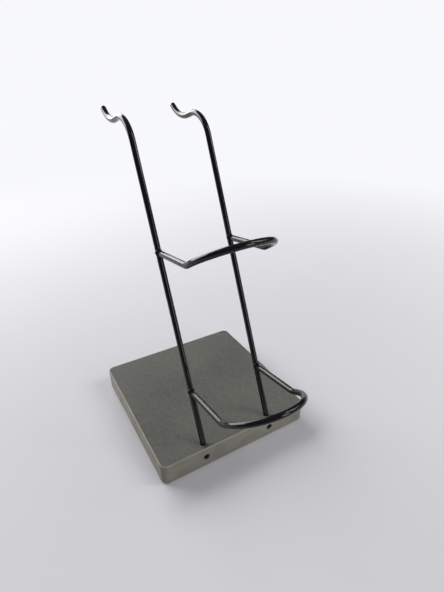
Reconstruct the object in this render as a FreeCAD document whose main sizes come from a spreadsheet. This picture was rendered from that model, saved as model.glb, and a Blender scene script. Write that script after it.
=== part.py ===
# Two-tier stand for two game controllers and a headset.
# A square slab carries two leaning rods that bend back into headset rests.
# Two bent rod cradles reach forward from the rods, one above the other.
# Millimetres. X to the right, Y to the rear, Z up, floor at Z = 0.
import FreeCAD
import Part
import Sketcher
import math
import os

os.makedirs("parts", exist_ok=True)
doc = FreeCAD.newDocument("stand")
V = FreeCAD.Vector

# Driving dimensions
sheet = doc.addObject("Spreadsheet::Sheet", "dims")
dims = {
    "slab_width": 125,
    "slab_depth": 125,
    "slab_thickness": 17,
    "slab_corner": 5,
    "slab_top_round": 1.2,
    "slab_bottom_bevel": 0.8,
    "pad_inset": 6,
    "pad_corner": 4,
    "pad_thickness": 1.5,
    "pad_sink": 0.7,
    "fit_gap": 0.1,
    "rod_size": 4.2,
    "rod_spacing": 56,
    "rod_setback": 5.5,
    "socket_depth": 12,
    "lean": 23.5,
    "foot_bend": 8,
    "upright_run": 211,
    "neck_bend": 22,
    "seat_drop": 14.5,
    "seat_run": 7,
    "seat_bend": 30,
    "tip_rise": 32,
    "tip_run": 5,
    "tip_round": 1.9,
    "lower_height": 39.5,
    "upper_height": 139.5,
    "arm_reach": 44,
    "arm_rise": 9.5,
    "lip_rise": 33,
    "lip_bend": 10,
    "lip_run": 1.5,
    "weld_height": 0.6,
    "weld_run": 2,
    "screw_size": 5,
    "screw_height": 8.5,
    "screw_sink": 0.5,
    "screw_key": 2.5,
    "screw_key_depth": 1.3,
}
for row, (name, value) in enumerate(dims.items(), 1):
    sheet.set("A%d" % row, name)
    sheet.set("B%d" % row, str(value))
    sheet.setAlias("B%d" % row, name)
doc.recompute()


def bind(obj, prop, expression):
    obj.setExpression(prop, expression)


def new_body(label):
    body = doc.addObject("PartDesign::Body", label)
    body.Label = label
    return body


def origin_plane(body, name):
    for item in body.Origin.OriginFeatures:
        if item.Role == name:
            return item
    raise ValueError(name)


def new_sketch(body, plane, name):
    sketch = body.newObject("Sketcher::SketchObject", name)
    sketch.AttachmentSupport = [(origin_plane(body, plane), "")]
    sketch.MapMode = "FlatFace"
    return sketch


def offset(sketch, x="0", y="0", z="0", turn=None):
    bind(sketch, "AttachmentOffset.Base.x", x)
    bind(sketch, "AttachmentOffset.Base.y", y)
    bind(sketch, "AttachmentOffset.Base.z", z)
    if turn is not None:
        sketch.AttachmentOffset = FreeCAD.Placement(V(0, 0, 0), FreeCAD.Rotation(V(1, 0, 0), 1))
        bind(sketch, "AttachmentOffset.Rotation.Angle", turn)


def limit(sketch, constraint, expression):
    index = sketch.addConstraint(constraint)
    bind(sketch, "Constraints[%d]" % index, expression)


def rectangle(sketch, width, depth):
    corners = [V(-10, -10, 0), V(10, -10, 0), V(10, 10, 0), V(-10, 10, 0)]
    for k in range(4):
        sketch.addGeometry(Part.LineSegment(corners[k], corners[(k + 1) % 4]), False)
    for k in range(4):
        sketch.addConstraint(Sketcher.Constraint("Coincident", k, 2, (k + 1) % 4, 1))
    for k in (0, 2):
        sketch.addConstraint(Sketcher.Constraint("Horizontal", k))
    for k in (1, 3):
        sketch.addConstraint(Sketcher.Constraint("Vertical", k))
    sketch.addConstraint(Sketcher.Constraint("Symmetric", 0, 1, 1, 2, -1, 1))
    limit(sketch, Sketcher.Constraint("DistanceX", 0, 1, 0, 2, 20), width)
    limit(sketch, Sketcher.Constraint("DistanceY", 1, 1, 1, 2, 20), depth)


def value(expression):
    return float(sheet.evalExpression(expression))


def circle(sketch, x, y, radius):
    """Full circle whose centre and radius are expressions of the driving dimensions."""
    ring = Part.Circle(V(value(x), value(y), 0), V(0, 0, 1), value(radius))
    geo = sketch.addGeometry(ring, False)
    limit(sketch, Sketcher.Constraint("DistanceX", -1, 1, geo, 3, value(x)), x)
    limit(sketch, Sketcher.Constraint("DistanceY", -1, 1, geo, 3, value(y)), y)
    limit(sketch, Sketcher.Constraint("Radius", geo, value(radius)), radius)


def pad(body, sketch, length, name, back=False):
    feature = body.newObject("PartDesign::Pad", name)
    feature.Profile = sketch
    feature.Reversed = back
    bind(feature, "Length", length)
    return feature


def pocket(body, sketch, depth, name, back=False):
    feature = body.newObject("PartDesign::Pocket", name)
    feature.Profile = sketch
    feature.Reversed = back
    bind(feature, "Length", depth)
    return feature


def edges_where(feature, test):
    names = []
    for k, edge in enumerate(feature.Shape.Edges, 1):
        if test(edge):
            names.append("Edge%d" % k)
    return names


def round_edges(body, feature, test, radius, name):
    names = edges_where(feature, test)
    rounding = body.newObject("PartDesign::Fillet", name)
    rounding.Base = (feature, names)
    bind(rounding, "Radius", radius)
    return rounding


sides = {"left": -1, "right": 1}
rod_side = "%d * dims.rod_spacing / 2"
rod_radius = "dims.rod_size / 2"

# Slab
slab = new_body("base_slab")
bind(slab, "Placement.Base.z", "dims.pad_thickness - dims.pad_sink")
outline = new_sketch(slab, "XY_Plane", "slab_outline")
rectangle(outline, "dims.slab_width", "dims.slab_depth")
block = pad(slab, outline, "dims.slab_thickness", "slab_block")
doc.recompute()


def is_upright(edge, least=1):
    box = edge.BoundBox
    return box.ZLength > least and box.XLength < 0.01 and box.YLength < 0.01


def is_level_at(height):
    def test(edge):
        box = edge.BoundBox
        return abs(box.ZMin - height) < 0.01 and abs(box.ZMax - height) < 0.01
    return test


corners = round_edges(slab, block, is_upright, "dims.slab_corner", "slab_corners")
doc.recompute()
top_edge = round_edges(slab, corners, is_level_at(dims["slab_thickness"]), "dims.slab_top_round", "slab_top_edge")
doc.recompute()
bottom_edge = slab.newObject("PartDesign::Chamfer", "slab_bottom_edge")
bottom_edge.Base = (top_edge, edges_where(top_edge, is_level_at(0)))
bind(bottom_edge, "Size", "dims.slab_bottom_bevel")
doc.recompute()

# Sockets for the rods, bored down from the top
sockets = new_sketch(slab, "XY_Plane", "rod_sockets")
offset(sockets, z="dims.slab_thickness")
for side in sides.values():
    circle(
        sockets,
        rod_side % side,
        "dims.rod_setback - dims.slab_depth / 2",
        "dims.rod_size / 2 + dims.fit_gap",
    )
pocket(slab, sockets, "dims.socket_depth", "socket_bores")

# Clamp screw bores, run from the front face into the sockets
screw_holes = new_sketch(slab, "XZ_Plane", "screw_holes")
offset(screw_holes, z="dims.slab_depth / 2")
for side in sides.values():
    circle(
        screw_holes,
        rod_side % side,
        "dims.screw_height",
        "dims.screw_size / 2 + dims.fit_gap",
    )
pocket(slab, screw_holes, "dims.rod_setback", "screw_bores")

# Shallow recess for the pad, and the pad glued into it
recess = new_sketch(slab, "XY_Plane", "pad_recess")
rectangle(
    recess,
    "dims.slab_width - 2 * (dims.pad_inset - dims.fit_gap)",
    "dims.slab_depth - 2 * (dims.pad_inset - dims.fit_gap)",
)
recess_cut = pocket(slab, recess, "dims.pad_sink", "pad_pocket", back=True)
doc.recompute()
recess_depth = dims["pad_sink"]


def is_recess_corner(edge):
    box = edge.BoundBox
    return is_upright(edge, 0.1) and box.ZMin < 0.01 and abs(box.ZMax - recess_depth) < 0.01


round_edges(slab, recess_cut, is_recess_corner, "dims.pad_corner + dims.fit_gap", "pad_pocket_corners")
pad_sheet = new_body("base_pad")
sheet_outline = new_sketch(pad_sheet, "XY_Plane", "pad_outline")
rectangle(
    sheet_outline,
    "dims.slab_width - 2 * dims.pad_inset",
    "dims.slab_depth - 2 * dims.pad_inset",
)
sheet_block = pad(pad_sheet, sheet_outline, "dims.pad_thickness", "pad_block")
doc.recompute()
round_edges(pad_sheet, sheet_block, is_upright, "dims.pad_corner", "pad_corners")
doc.recompute()

# Clamp screws with a hexagon key recess
for name, side in sides.items():
    screw = new_body("clamp_screw_%s" % name)
    bind(screw, "Placement.Base.x", rod_side % side)
    bind(screw, "Placement.Base.y", "dims.screw_sink - dims.slab_depth / 2")
    bind(screw, "Placement.Base.z", "dims.pad_thickness - dims.pad_sink + dims.screw_height")
    disc = new_sketch(screw, "XZ_Plane", "screw_disc_%s" % name)
    circle(disc, "0", "0", "dims.screw_size / 2")
    pad(
        screw, disc, "dims.rod_setback - dims.rod_size / 2 - dims.screw_sink",
        "screw_body_%s" % name, back=True,
    )
    key = new_sketch(screw, "XZ_Plane", "screw_key_%s" % name)
    radius = dims["screw_key"] / math.sqrt(3)
    points = [V(radius * math.cos(k * math.pi / 3), radius * math.sin(k * math.pi / 3), 0) for k in range(6)]
    for k in range(6):
        key.addGeometry(Part.LineSegment(points[k], points[(k + 1) % 6]), False)
    guide = key.addGeometry(Part.Circle(V(0, 0, 0), V(0, 0, 1), radius), True)
    for k in range(6):
        key.addConstraint(Sketcher.Constraint("Coincident", k, 2, (k + 1) % 6, 1))
        key.addConstraint(Sketcher.Constraint("PointOnObject", k, 1, guide))
    for k in range(5):
        key.addConstraint(Sketcher.Constraint("Equal", k, k + 1))
    key.addConstraint(Sketcher.Constraint("Coincident", guide, 3, -1, 1))
    key.addConstraint(Sketcher.Constraint("PointOnObject", 0, 1, -1))
    limit(key, Sketcher.Constraint("Radius", guide, radius), "dims.screw_key / sqrt(3)")
    pocket(screw, key, "dims.screw_key_depth", "screw_recess_%s" % name)
    doc.recompute()


def turn_point(point, heading, radius, turn):
    """End point and heading after an arc; a positive turn bends clockwise."""
    side = V(math.sin(math.radians(heading)), -math.cos(math.radians(heading)), 0)
    if turn < 0:
        side = side.multiply(-1)
    centre = point.add(V(side).multiply(radius))
    after = heading - turn
    back = V(math.sin(math.radians(after)), -math.cos(math.radians(after)), 0)
    if turn < 0:
        back = back.multiply(-1)
    return centre, centre.sub(back.multiply(radius)), after


def step(point, heading, run):
    return point.add(V(run * math.cos(math.radians(heading)), run * math.sin(math.radians(heading)), 0))


def rod_path(sketch, moves):
    """Chain of straight runs and arcs, tangent to each other, from the sketch's origin."""
    point = V(0, 0, 0)
    heading = 90
    previous = None
    for move in moves:
        if move[0] == "run":
            end = step(point, heading, move[1])
            geo = sketch.addGeometry(Part.LineSegment(point, end), False)
            entry = 1
            leave = 2
            limit(sketch, Sketcher.Constraint("Distance", geo, move[1]), move[2])
        else:
            centre, end, after = turn_point(point, heading, move[1], move[3])
            start_angle = math.atan2(point.y - centre.y, point.x - centre.x)
            end_angle = math.atan2(end.y - centre.y, end.x - centre.x)
            ring = Part.Circle(centre, V(0, 0, 1), move[1])
            if move[3] > 0:
                geo = sketch.addGeometry(Part.ArcOfCircle(ring, end_angle, start_angle), False)
                entry = 2
                leave = 1
            else:
                geo = sketch.addGeometry(Part.ArcOfCircle(ring, start_angle, end_angle), False)
                entry = 1
                leave = 2
            limit(sketch, Sketcher.Constraint("Radius", geo, move[1]), move[2])
            heading = after
        if previous is None:
            sketch.addConstraint(Sketcher.Constraint("Coincident", geo, entry, -1, 1))
            sketch.addConstraint(Sketcher.Constraint("Vertical", geo))
        else:
            sketch.addConstraint(Sketcher.Constraint("Tangent", previous[0], previous[1], geo, entry))
        if move[0] == "run" and move[3] is not None:
            limit(sketch, Sketcher.Constraint("Angle", -1, 1, geo, 1, math.radians(heading)), move[3])
        previous = (geo, leave)
        point = end
    return point


# Uprights, each one bent rod from its socket to the headset rest
moves = [
    ("run", dims["socket_depth"], "dims.socket_depth", None),
    ("arc", dims["foot_bend"], "dims.foot_bend", dims["lean"]),
    ("run", dims["upright_run"], "dims.upright_run", "90 - dims.lean"),
    ("arc", dims["neck_bend"], "dims.neck_bend", 90 - dims["lean"] + dims["seat_drop"]),
    ("run", dims["seat_run"], "dims.seat_run", "0 - dims.seat_drop"),
    ("arc", dims["seat_bend"], "dims.seat_bend", -dims["seat_drop"] - dims["tip_rise"]),
    ("run", dims["tip_run"], "dims.tip_run", "dims.tip_rise"),
]
for name, side in sides.items():
    upright = new_body("upright_%s" % name)
    bind(upright, "Placement.Base.x", rod_side % side)
    bind(upright, "Placement.Base.y", "dims.rod_setback - dims.slab_depth / 2")
    bind(
        upright, "Placement.Base.z",
        "dims.pad_thickness - dims.pad_sink + dims.slab_thickness - dims.socket_depth",
    )
    path = new_sketch(upright, "YZ_Plane", "upright_path_%s" % name)
    tip = rod_path(path, moves)
    section = new_sketch(upright, "XY_Plane", "upright_section_%s" % name)
    circle(section, "0", "0", rod_radius)
    doc.recompute()
    sweep = upright.newObject("PartDesign::AdditivePipe", "upright_sweep_%s" % name)
    sweep.Profile = section
    sweep.Spine = (path, ["Edge%d" % (k + 1) for k in range(len(moves))])
    doc.recompute()

    def is_tip(edge):
        centre = edge.BoundBox.Center
        near = math.hypot(centre.y - tip.x, centre.z - tip.y)
        return near < 0.2 and abs(edge.Length - math.pi * dims["rod_size"]) < 0.1

    round_edges(upright, sweep, is_tip, "dims.tip_round", "upright_tip_%s" % name)
    doc.recompute()

# Cradles: a half-ring lip, two short legs, two bends and two arms.
# The arms' ends are coped to sit on the uprights, with a weld bead around each.
bend_turn = "(dims.lip_rise - dims.arm_rise)"
bend_back = "(dims.lip_run + dims.lip_bend * sin(%s))" % bend_turn
bend_up = "(dims.lip_bend * (1 - cos(%s)))" % bend_turn
arm_run = "(dims.arm_reach - dims.lip_bend * tan(%s / 2))" % bend_turn
root_back = "(%s + %s * cos(%s))" % (bend_back, arm_run, bend_turn)
root_up = "(%s + %s * sin(%s))" % (bend_up, arm_run, bend_turn)
for name, height in (("lower", "dims.lower_height"), ("upper", "dims.upper_height")):
    cradle = new_body("cradle_%s" % name)
    root_y = "(dims.rod_setback - dims.slab_depth / 2)"
    root_z = (
        "(dims.pad_thickness - dims.pad_sink + dims.slab_thickness"
        " + dims.foot_bend * tan(dims.lean / 2))"
    )
    reach = "(dims.lip_bend * tan(%s / 2) + dims.lip_run)" % bend_turn
    cradle.Placement = FreeCAD.Placement(V(0, 0, 0), FreeCAD.Rotation(V(-1, 0, 0), 30))
    bind(
        cradle, "Placement.Base.y",
        "%s + %s * sin(dims.lean) - dims.arm_reach * cos(dims.arm_rise) - %s * cos(dims.lip_rise)"
        % (root_y, height, reach),
    )
    bind(
        cradle, "Placement.Base.z",
        "%s + %s * cos(dims.lean) + dims.arm_reach * sin(dims.arm_rise) + %s * sin(dims.lip_rise)"
        % (root_z, height, reach),
    )
    bind(cradle, "Placement.Rotation.Angle", "dims.lip_rise")

    ring = new_sketch(cradle, "XZ_Plane", "lip_section_%s" % name)
    circle(ring, "dims.rod_spacing / 2", "0", rod_radius)
    lip = cradle.newObject("PartDesign::Revolution", "lip_ring_%s" % name)
    lip.Profile = ring
    lip.ReferenceAxis = (ring, ["V_Axis"])
    lip.Angle = 180
    lip.Reversed = True

    legs = new_sketch(cradle, "XZ_Plane", "leg_sections_%s" % name)
    bends = new_sketch(cradle, "XZ_Plane", "bend_sections_%s" % name)
    offset(bends, z="0 - dims.lip_run")
    arms = new_sketch(cradle, "XZ_Plane", "arm_sections_%s" % name)
    offset(arms, y=bend_up, z="0 - %s" % bend_back, turn=bend_turn)
    for sketch in (legs, bends, arms):
        for side in sides.values():
            circle(sketch, rod_side % side, "0", rod_radius)
    hinge = bends.addGeometry(Part.LineSegment(V(-5, 10, 0), V(5, 10, 0)), True)
    bends.addConstraint(Sketcher.Constraint("Symmetric", hinge, 1, hinge, 2, -2))
    limit(bends, Sketcher.Constraint("DistanceY", -1, 1, hinge, 1, 10), "dims.lip_bend")
    limit(bends, Sketcher.Constraint("Distance", hinge, 10), "dims.lip_bend")

    pad(cradle, legs, "dims.lip_run", "lip_legs_%s" % name, back=True)
    corner = cradle.newObject("PartDesign::Revolution", "lip_bends_%s" % name)
    corner.Profile = bends
    corner.ReferenceAxis = (bends, ["Axis0"])
    bind(corner, "Angle", bend_turn)
    pad(cradle, arms, arm_run, "arms_%s" % name, back=True)

    welds = new_sketch(cradle, "XZ_Plane", "weld_sections_%s" % name)
    offset(welds, y=root_up, z="0 - %s" % root_back, turn=bend_turn)
    copes = new_sketch(cradle, "XY_Plane", "cope_sections_%s" % name)
    offset(copes, y=root_back, z=root_up, turn="dims.lip_rise - dims.lean")
    for side in sides.values():
        circle(welds, rod_side % side, "0", "dims.rod_size / 2 + dims.weld_height")
        circle(copes, rod_side % side, "0", rod_radius)
    bead = pad(cradle, welds, "dims.rod_size / 2 + dims.weld_run", "weld_beads_%s" % name)
    bind(bead, "TaperAngle", "-1 * atan(dims.weld_height / (dims.rod_size / 2 + dims.weld_run))")
    cope = pocket(cradle, copes, "dims.rod_size * 4", "copes_%s" % name)
    cope.SideType = "Symmetric"
    doc.recompute()

# Check and write every piece
doc.recompute()
for obj in doc.Objects:
    for word in ("Invalid", "Error"):
        if word in obj.State:
            raise RuntimeError("%s is %s" % (obj.Name, obj.State))
for body in [obj for obj in doc.Objects if obj.TypeId == "PartDesign::Body"]:
    shape = body.Shape
    if shape.isNull() or not shape.isValid() or len(shape.Solids) != 1:
        raise RuntimeError("%s has no single valid solid" % body.Label)
    shape.exportStep("parts/%s.step" % body.Label)
    box = shape.BoundBox
    print(body.Label, round(shape.Volume, 1), [round(v, 2) for v in (
        box.XMin, box.XMax, box.YMin, box.YMax, box.ZMin, box.ZMax)])
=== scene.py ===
"""Looks of the two-tier controller stand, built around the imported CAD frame. Metres."""

import math

import bmesh
import bpy
from mathutils import Matrix, Quaternion, Vector


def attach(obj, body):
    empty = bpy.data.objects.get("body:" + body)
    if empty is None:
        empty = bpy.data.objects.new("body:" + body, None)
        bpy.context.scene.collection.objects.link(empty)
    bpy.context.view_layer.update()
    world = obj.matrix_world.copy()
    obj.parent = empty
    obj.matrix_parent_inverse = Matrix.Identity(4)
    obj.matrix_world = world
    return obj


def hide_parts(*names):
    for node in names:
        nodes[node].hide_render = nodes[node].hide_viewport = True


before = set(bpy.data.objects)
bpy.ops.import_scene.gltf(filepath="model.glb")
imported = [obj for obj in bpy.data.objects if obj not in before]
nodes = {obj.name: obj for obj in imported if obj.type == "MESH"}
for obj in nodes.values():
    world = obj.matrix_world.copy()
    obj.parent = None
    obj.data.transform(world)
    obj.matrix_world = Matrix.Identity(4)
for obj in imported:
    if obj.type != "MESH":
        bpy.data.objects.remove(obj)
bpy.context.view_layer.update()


scene = bpy.context.scene


# Node patterns
class Pattern:
    """Short calls that build one node tree. An input takes a plain value, or the socket that feeds it."""

    def __init__(self, tree, coordinates):
        self.tree = tree
        self.place = self.add("TexCoord").outputs[coordinates]

    def feed(self, node, inputs):
        for key, value in inputs.items():
            socket = node.inputs[key]
            if isinstance(value, bpy.types.NodeSocket):
                self.tree.links.new(value, socket)
            elif socket.type == "RGBA":
                socket.default_value = (*value, 1)
            else:
                socket.default_value = value

    def add(self, kind, inputs=None, **settings):
        node = self.tree.nodes.new("ShaderNode" + kind)
        for key, value in settings.items():
            setattr(node, key, value)
        self.feed(node, inputs or {})
        return node

    def split(self, vector):
        """Sockets X, Y and Z of a vector."""
        return self.add("SeparateXYZ", {"Vector": vector}).outputs

    def math(self, kind, a, b):
        return self.add("Math", {0: a, 1: b}, operation=kind).outputs["Value"]

    def span(self, value, low, high, to_low=0.0, to_high=1.0, easing="LINEAR"):
        """Value brought from low and high to the new ends, and held there past them."""
        inputs = {"Value": value, "From Min": low, "From Max": high, "To Min": to_low, "To Max": to_high}
        return self.add("MapRange", inputs, interpolation_type=easing).outputs["Result"]

    def mix(self, factor, a, b):
        """Colour a where the factor is 0, and colour b where it is 1."""
        return self.add("Mix", {"Factor": factor, "A": a, "B": b}, data_type="RGBA").outputs["Result"]

    def layer(self, under, over, mask, share):
        """Colour over the one under it, by the share where the mask is 1."""
        return self.mix(self.math("MULTIPLY", mask, share), under, over)

    def noise(self, scale, detail, roughness, stretch=(1, 1, 1)):
        mapping = self.add("Mapping", {"Vector": self.place, "Scale": stretch})
        place = mapping.outputs["Vector"]
        inputs = {"Vector": place, "Scale": scale, "Detail": detail, "Roughness": roughness}
        return self.add("TexNoise", inputs).outputs["Fac"]

    def bump(self, height, distance, strength):
        return self.add("Bump", {"Height": height, "Distance": distance, "Strength": strength})


class Surface(Pattern):
    """A material with one principled shader."""

    def __init__(self, name):
        self.material = bpy.data.materials.new(name)
        self.material.use_nodes = True
        super().__init__(self.material.node_tree, "Object")
        self.shader = self.tree.nodes["Principled BSDF"]


# Materials
# The slab top colours are painted shade. They are darker than the sides, which carry the slab's own paler
# tone.
SLAB_SHADED_TOP_DARK = (0.070, 0.073, 0.065)
SLAB_SHADED_TOP_LIGHT = (0.089, 0.092, 0.082)
SLAB_SHADED_TOP_PATCH = (0.110, 0.112, 0.100)
SLAB_SIDE_DARK = (0.215, 0.205, 0.175)
SLAB_SIDE_LIGHT = (0.290, 0.278, 0.240)
SLAB_SIDE_PATCH = (0.350, 0.335, 0.292)
SLAB_STAIN = (0.195, 0.170, 0.130)
# Worn edge colour, which also serves as a painted highlight on the rounded edge.
SLAB_WORN_EDGE_AND_HIGHLIGHT = (0.46, 0.45, 0.40)
SLAB_GRAIN = (0.30, 0.29, 0.26)
SLAB_STREAK = (0.06, 0.059, 0.052)
# Painted shade in the pinholes.
SLAB_PINHOLE_SHADE = (0.05, 0.049, 0.043)
ROD_DARK = (0.0045, 0.0047, 0.005)
ROD_LIGHT = (0.0075, 0.0077, 0.008)
OXIDE_DARK = (0.045, 0.045, 0.048)
OXIDE_LIGHT = (0.095, 0.093, 0.09)
RUBBER_DARK = (0.018, 0.018, 0.019)
RUBBER_LIGHT = (0.034, 0.034, 0.035)
FLOOR_DARK = (0.655, 0.657, 0.700)
FLOOR_LIGHT = (0.685, 0.685, 0.725)
BACKDROP = (0.935, 0.94, 0.975)


def slab_pinholes(s):
    """1 in the middle of a few scattered cells, and 0 elsewhere."""
    cells = s.add("TexVoronoi", {"Vector": s.place, "Scale": 105}).outputs
    chosen = s.span(cells["Color"], low=0.84, high=0.87)
    near = s.span(cells["Distance"], low=0.04, high=0.08, to_low=1.0, to_high=0.0)
    return s.math("MULTIPLY", chosen, near)


def slab_surface():
    """Cast slab: cloudy top painted darker as shade, paler stained sides, worn edges with a painted
    highlight, streaks, and pinholes with painted shade in them.
    """
    s = Surface("slab")
    cloud = s.span(s.noise(scale=30, detail=6, roughness=0.62), low=0.34, high=0.68)
    patch = s.span(s.noise(scale=11, detail=4, roughness=0.55), low=0.40, high=0.62)
    stain = s.span(s.noise(scale=48, detail=3, roughness=0.5, stretch=(1, 1, 2)), low=0.50, high=0.66)
    grain = s.span(s.noise(scale=420, detail=4, roughness=0.62), low=0.33, high=0.70)
    edge_wear_and_highlight = s.span(s.noise(scale=140, detail=4, roughness=0.6), low=0.35, high=0.6, to_low=0.35)
    streak = s.span(s.noise(scale=55, detail=5, roughness=0.65, stretch=(1, 7, 1)), low=0.60, high=0.72)
    hole = slab_pinholes(s)

    # Painted shade: the top is coloured darker than the sides.
    top = s.mix(cloud, SLAB_SHADED_TOP_DARK, SLAB_SHADED_TOP_LIGHT)
    top = s.layer(top, SLAB_SHADED_TOP_PATCH, mask=patch, share=0.55)
    side = s.mix(cloud, SLAB_SIDE_DARK, SLAB_SIDE_LIGHT)
    side = s.layer(side, SLAB_SIDE_PATCH, mask=patch, share=0.5)
    side = s.layer(side, SLAB_STAIN, mask=stain, share=0.45)

    rise = s.split(s.add("NewGeometry").outputs["Normal"])["Z"]
    above_sides = s.span(rise, low=0.15, high=0.5)
    below_top = s.span(rise, low=0.85, high=0.97, to_low=1.0, to_high=0.0)
    edge = s.math("MULTIPLY", above_sides, below_top)
    # Painted shade: faces that point up take the darker top colour, and the sides keep the paler one.
    base = s.mix(s.span(rise, low=0.90, high=0.995), side, top)
    # Worn edges lightened, partly as a painted highlight along the rounded edge between top and sides.
    base = s.layer(base, SLAB_WORN_EDGE_AND_HIGHLIGHT, mask=s.math("MULTIPLY", edge, edge_wear_and_highlight), share=0.55)
    base = s.layer(base, SLAB_GRAIN, mask=grain, share=0.20)
    base = s.layer(base, SLAB_STREAK, mask=streak, share=0.13)

    fine = s.bump(s.noise(scale=700, detail=3, roughness=0.6), distance=0.00012, strength=0.45)
    broad = s.bump(s.noise(scale=60, detail=4, roughness=0.55), distance=0.00018, strength=0.2)
    pits = s.bump(s.math("MULTIPLY", hole, -1.0), distance=0.0004, strength=0.9)
    s.feed(broad, {"Normal": fine.outputs["Normal"]})
    s.feed(pits, {"Normal": broad.outputs["Normal"]})
    s.feed(s.shader, {
        # Painted shade: the pinholes are coloured darker than the slab around them.
        "Base Color": s.mix(hole, base, SLAB_PINHOLE_SHADE),
        "Roughness": s.span(grain, low=0, high=1, to_low=0.66, to_high=0.84),
        "Specular IOR Level": 0.3,
        "Normal": pits.outputs["Normal"],
    })
    return s.material


def rod_surface():
    """Gloss black coat, with a faint unevenness in its gloss."""
    s = Surface("gloss_coat")
    drift = s.span(s.noise(scale=40, detail=3, roughness=0.5), low=0.35, high=0.65)
    gloss_drift = s.noise(scale=160, detail=3, roughness=0.5)
    ripple = s.bump(s.noise(scale=120, detail=2, roughness=0.5), distance=0.00004, strength=0.12)
    s.feed(s.shader, {
        "Base Color": s.mix(drift, ROD_DARK, ROD_LIGHT),
        "Roughness": s.span(gloss_drift, low=0.3, high=0.7, to_low=0.10, to_high=0.18),
        "Specular IOR Level": 0.36,
        "Normal": ripple.outputs["Normal"],
    })
    return s.material


def screw_surface():
    """Blackened steel."""
    s = Surface("black_oxide")
    drift = s.span(s.noise(scale=300, detail=4, roughness=0.6), low=0.3, high=0.7)
    gloss_drift = s.noise(scale=900, detail=3, roughness=0.5)
    s.feed(s.shader, {
        "Base Color": s.mix(drift, OXIDE_DARK, OXIDE_LIGHT),
        "Roughness": s.span(gloss_drift, low=0.3, high=0.7, to_low=0.35, to_high=0.55),
        "Metallic": 0.9,
    })
    return s.material


def rubber_surface():
    s = Surface("rubber")
    drift = s.span(s.noise(scale=90, detail=4, roughness=0.6), low=0.3, high=0.7)
    grain = s.bump(s.noise(scale=1500, detail=2, roughness=0.5), distance=0.00005, strength=0.4)
    s.feed(s.shader, {
        "Base Color": s.mix(drift, RUBBER_DARK, RUBBER_LIGHT),
        "Roughness": 0.85,
        "Specular IOR Level": 0.25,
        "Normal": grain.outputs["Normal"],
    })
    return s.material


def floor_surface():
    """Pale matt floor that turns into an even pale backdrop away from the stand.

    The eye and clear things see the backdrop all round, and glossy things see it behind the stand.
    """
    s = Surface("floor")
    drift = s.span(s.noise(scale=2.2, detail=2, roughness=0.5), low=0.3, high=0.7)
    s.feed(s.shader, {
        "Base Color": s.mix(drift, FLOOR_DARK, FLOOR_LIGHT),
        "Roughness": 0.9,
        "Specular IOR Level": 0.1,
    })
    distance = s.add("VectorMath", {0: s.place}, operation="LENGTH").outputs["Value"]
    far = s.span(distance, low=0.02, high=0.98, easing="SMOOTHSTEP")
    behind = s.span(s.split(s.place)["Y"], low=0.0, high=0.5)
    rays = s.add("LightPath").outputs
    mirrored = s.math("MULTIPLY", rays["Is Glossy Ray"], behind)
    seen = s.math("MAXIMUM", rays["Is Camera Ray"], rays["Is Transmission Ray"])
    seen = s.math("MAXIMUM", seen, mirrored)
    glow = s.add("Emission", {"Color": BACKDROP})
    blend = s.add("MixShader", {
        "Fac": s.math("MULTIPLY", seen, far),
        1: s.shader.outputs["BSDF"],
        2: glow.outputs["Emission"],
    })
    s.feed(s.tree.nodes["Material Output"], {"Surface": blend.outputs["Shader"]})
    return s.material


stone = slab_surface()
gloss = rod_surface()
oxide = screw_surface()
rubber = rubber_surface()


# Sizes of the bent rods
MM = 0.001
ROD = 2.1 * MM                       # radius of every rod
SPAN = 28 * MM                       # from the middle plane to each upright
RIGHT = Vector((1, 0, 0))
FOOT = Vector((0, -57, 5.8)) * MM    # lower end of an upright, in its socket
SOCKET = 12 * MM
FOOT_BEND = 8 * MM
LEAN = math.radians(23.5)
LEANING_RUN = 211 * MM
CREST_BEND = 22 * MM
CREST_TURN = math.radians(81)
CREST_RUN = 7 * MM
SEAT_BEND = 30 * MM
SEAT_TURN = math.radians(46.5)
TIP_RUN = 3.07 * MM
TIP_DOME = 1.9 * MM
TIER_HEIGHTS = {"lower": 39.5 * MM, "upper": 139.5 * MM}    # along the leaning line
ARM_RISE = math.radians(9.5)
ARM_REACH = 44 * MM                  # to the corner between arm and lip
LIP_RISE = math.radians(33)
LIP_BEND = 10 * MM
LIP_RUN = 1.5 * MM
BEAD = 0.62 * MM                     # mean radius of a bead
RIPPLE_HEIGHT = 0.09 * MM
RIPPLES = 13                         # round one bead
SWELL_HEIGHT = 0.05 * MM
SWELLS = 5
SWELL_START = 1                      # radians

# How finely the rods are divided
ROD_SIDES = 32
ARC_STEP = 3                         # degrees
FEWEST_ARC_STEPS = 3
RUN_STEP = 9 * MM
DOME_RINGS = 8
LIP_STEPS = 60
BEAD_STEPS = 96
BEAD_SIDES = 14


# Bent rods
def turned(direction, angle):
    """Direction in the YZ plane, turned clockwise seen from the right-hand side."""
    return Matrix.Rotation(-angle, 3, "X") @ direction


def bent_line(start, direction, moves):
    """Points along straight runs and arcs in one YZ plane, and the last direction.

    A move is the length of a run, or the (radius, angle) of an arc.
    """
    points = [start.copy()]
    here = start.copy()
    for move in moves:
        if isinstance(move, tuple):
            radius, angle = move
            count = max(FEWEST_ARC_STEPS, math.ceil(abs(math.degrees(angle)) / ARC_STEP))
            for k in range(count):
                chord = 2 * radius * math.sin(abs(angle) / count / 2)
                here = here + turned(direction, angle * (k + 0.5) / count) * chord
                points.append(here.copy())
            direction = turned(direction, angle)
        else:
            count = max(1, round(move / RUN_STEP))
            for k in range(count):
                here = here + direction * move / count
                points.append(here.copy())
    return points, direction


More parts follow.
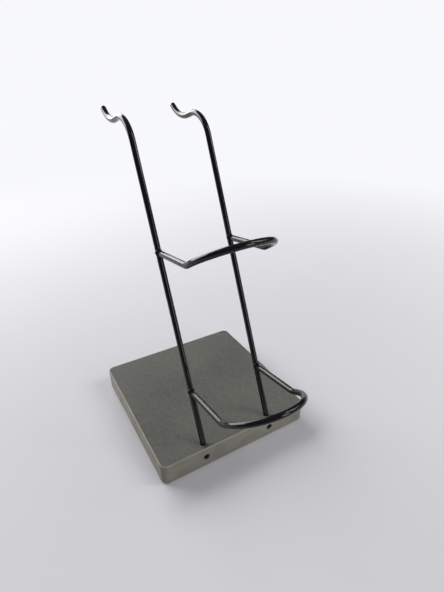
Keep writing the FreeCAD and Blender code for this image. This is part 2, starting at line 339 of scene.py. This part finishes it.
def tube(bm, points, radii, sides=ROD_SIDES, closed=False):
    """Round tube along points, with one radius a point, by rings that don't twist."""
    no_rod_runs_this_way = Vector((0.31, 0.22, 0.93))
    count = len(points)
    across = None
    rings = []
    for k, point in enumerate(points):
        ahead = points[(k + 1) % count] if closed or k < count - 1 else point
        behind = points[k - 1] if closed or k > 0 else point
        along = (ahead - behind).normalized()
        if across is None:
            across = along.cross(no_rod_runs_this_way).normalized()
        across = (across - along * across.dot(along)).normalized()
        other = along.cross(across)
        ring = []
        for j in range(sides):
            angle = math.tau * j / sides
            out = across * math.cos(angle) + other * math.sin(angle)
            ring.append(bm.verts.new(point + out * radii[k]))
        rings.append(ring)
    pairs = list(zip(rings, rings[1:]))
    if closed:
        first = rings[0]
        shift = min(range(sides), key=lambda j: (first[j].co - rings[-1][0].co).length)
        pairs.append((rings[-1], first[shift:] + first[:shift]))
    for low, high in pairs:
        for j in range(sides):
            beside = (j + 1) % sides
            bm.faces.new((low[j], low[beside], high[beside], high[j]))
    if not closed:
        bm.faces.new(rings[0][::-1])
        bm.faces.new(rings[-1])


def to_mesh(name, bm):
    bmesh.ops.recalc_face_normals(bm, faces=bm.faces)
    mesh = bpy.data.meshes.new(name)
    bm.to_mesh(mesh)
    bm.free()
    return mesh


def add_rod_piece(name, bm, stands_for=None):
    """Smooth gloss piece on the one body, in place of a node where it stands for one."""
    mesh = to_mesh(name, bm)
    for face in mesh.polygons:
        face.use_smooth = True
    mesh.materials.append(gloss)
    piece = bpy.data.objects.new(name, mesh)
    scene.collection.objects.link(piece)
    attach(piece, "root")
    if stands_for:
        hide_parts(stands_for)


def upright(name, side, node):
    """Rod from its socket up the leaning line, over a crest and a seat to a domed tip."""
    moves = [
        SOCKET,
        (FOOT_BEND, LEAN),
        LEANING_RUN,
        (CREST_BEND, CREST_TURN),
        CREST_RUN,
        (SEAT_BEND, -SEAT_TURN),
        TIP_RUN,
    ]
    points, direction = bent_line(FOOT + RIGHT * SPAN * side, Vector((0, 0, 1)), moves)
    radii = [ROD] * len(points)
    end = points[-1]
    for k in range(1, DOME_RINGS + 1):
        angle = math.pi / 2 * k / DOME_RINGS
        points.append(end + direction * TIP_DOME * math.sin(angle))
        radii.append(ROD - TIP_DOME + TIP_DOME * math.cos(angle))
    bm = bmesh.new()
    tube(bm, points, radii)
    add_rod_piece(name, bm, node)


def on_upright(height):
    """Point of the uprights' middle plane, that far up the leaning line from its foot."""
    foot = FOOT + Vector((0, 0, SOCKET + FOOT_BEND * math.tan(LEAN / 2)))
    return foot + Vector((0, math.sin(LEAN), math.cos(LEAN))) * height


def cradle(name, root, forward, node):
    """Rod with two arms from the uprights and a half-round lip between them, turned up."""
    lip_turn = LIP_RISE - ARM_RISE
    straight = ARM_REACH - LIP_BEND * math.tan(lip_turn / 2)
    arm, up = bent_line(root, forward, [straight, (LIP_BEND, lip_turn), LIP_RUN])
    left = [p - RIGHT * SPAN for p in arm]
    right = [p + RIGHT * SPAN for p in arm]
    lip = []
    for k in range(1, LIP_STEPS):
        angle = math.pi * k / LIP_STEPS
        lip.append(arm[-1] - RIGHT * SPAN * math.cos(angle) + up * SPAN * math.sin(angle))
    points = left + lip + right[::-1]
    bm = bmesh.new()
    tube(bm, points, [ROD] * len(points))
    add_rod_piece(name, bm, node)


def weld(bm, centre, forward):
    """Rippled bead along the line where an arm's end meets its upright.

    A line along the arm's round meets the upright's round at the run that solves a quadratic.
    """
    axis = Vector((0, math.sin(LEAN), math.cos(LEAN)))
    other = forward.cross(RIGHT)
    flat = forward - axis * forward.dot(axis)
    points = []
    radii = []
    for k in range(BEAD_STEPS):
        angle = math.tau * k / BEAD_STEPS
        out = (RIGHT * math.cos(angle) + other * math.sin(angle)) * ROD
        shade = out - axis * out.dot(axis)
        a = flat.length_squared
        b = 2 * shade.dot(flat)
        c = shade.length_squared - ROD * ROD
        run = (-b + math.sqrt(max(b * b - 4 * a * c, 0))) / (2 * a)
        points.append(centre + out + forward * run)
        ripple = RIPPLE_HEIGHT * math.sin(RIPPLES * angle)
        swell = SWELL_HEIGHT * math.sin(SWELLS * angle + SWELL_START)
        radii.append(BEAD + ripple + swell)
    tube(bm, points, radii, BEAD_SIDES, closed=True)


def tier(name, height):
    """One cradle, and the two beads that fix it."""
    root = on_upright(height)
    forward = Vector((0, -math.cos(ARM_RISE), math.sin(ARM_RISE)))
    cradle("rod_cradle_" + name, root, forward, "cradle_" + name)
    beads = bmesh.new()
    for side in (-1, 1):
        weld(beads, root + RIGHT * SPAN * side, forward)
    add_rod_piece("weld_beads_" + name, beads)


def dress(name, material):
    """New material on a solid that stays as it is."""
    nodes[name].data.materials.clear()
    nodes[name].data.materials.append(material)


dress("base_slab", stone)
dress("base_pad", rubber)
dress("clamp_screw_left", oxide)
dress("clamp_screw_right", oxide)
upright("bent_rod_left", -1, "upright_left")
upright("bent_rod_right", 1, "upright_right")
for tier_name, tier_height in TIER_HEIGHTS.items():
    tier(tier_name, tier_height)


# Floor, light and camera
FLOOR_HALF = 12
KEY_TINT = (1.0, 0.99, 0.97)
PANEL_TINT = (1.0, 0.98, 0.96)
LOW_SKY = (0.05, 0.05, 0.056)
HIGH_SKY = (0.16, 0.16, 0.175)
FILM_HEIGHT = 36
LENS = 24.606
CAMERA_PLACE = (-0.118893, -0.241302, 0.254061)
CAMERA_AIM = Vector((0.44106, 0.75477, -0.48558))
CAMERA_ROLL = math.radians(-0.347)
NEAREST_SEEN = 0.01


def plain_floor():
    """Wide pale floor under the stand."""
    bm = bmesh.new()
    bmesh.ops.create_grid(bm, x_segments=8, y_segments=8, size=FLOOR_HALF)
    floor = bpy.data.objects.new("floor", to_mesh("floor", bm))
    scene.collection.objects.link(floor)
    floor.data.materials.append(floor_surface())


def studio_world():
    """Soft pale surroundings, brighter overhead than near the horizon."""
    world = bpy.data.worlds.new("studio")
    world.use_nodes = True
    s = Pattern(world.node_tree, "Generated")
    overhead = s.span(s.split(s.place)["Z"], low=0.05, high=0.75, easing="SMOOTHSTEP")
    light = s.mix(overhead, LOW_SKY, HIGH_SKY)
    rays = s.add("LightPath").outputs
    s.feed(s.tree.nodes["Background"], {"Color": s.mix(rays["Is Camera Ray"], light, BACKDROP)})
    scene.world = world


def area_light(name, place, aim, size, watts, tint=PANEL_TINT):
    data = bpy.data.lights.new(name, "AREA")
    data.shape = "RECTANGLE"
    data.size = size[0]
    data.size_y = size[1]
    data.energy = watts
    data.color = tint
    lamp = bpy.data.objects.new(name, data)
    lamp.location = place
    lamp.rotation_euler = (Vector(aim) - Vector(place)).to_track_quat("-Z", "Y").to_euler()
    scene.collection.objects.link(lamp)


def place_camera():
    """Camera at the photograph's viewing angle."""
    data = bpy.data.cameras.new("camera")
    data.sensor_fit = "VERTICAL"
    data.sensor_height = FILM_HEIGHT
    data.lens = LENS
    data.clip_start = NEAREST_SEEN
    camera = bpy.data.objects.new("camera", data)
    camera.location = CAMERA_PLACE
    camera.rotation_mode = "QUATERNION"
    camera.rotation_quaternion = CAMERA_AIM.to_track_quat("-Z", "Y") @ Quaternion((0, 0, 1), CAMERA_ROLL)
    scene.collection.objects.link(camera)
    scene.camera = camera


plain_floor()
studio_world()
area_light("key", place=(-0.50, 1.35, 0.76), aim=(0, 0, 0.03), size=(1.9, 1.0), watts=39, tint=KEY_TINT)
area_light("front_panel", place=(0.45, -1.12, 0.42), aim=(0, 0, 0.12), size=(0.36, 0.6), watts=3.0)
area_light("right_panel", place=(0.98, -0.42, 0.70), aim=(0, 0, 0.1), size=(0.60, 0.36), watts=1.4)
area_light("top_panel", place=(0.66, -0.45, 0.90), aim=(0, 0, 0.2), size=(0.26, 0.66), watts=3.4)
scene.view_settings.view_transform = "Standard"
place_camera()
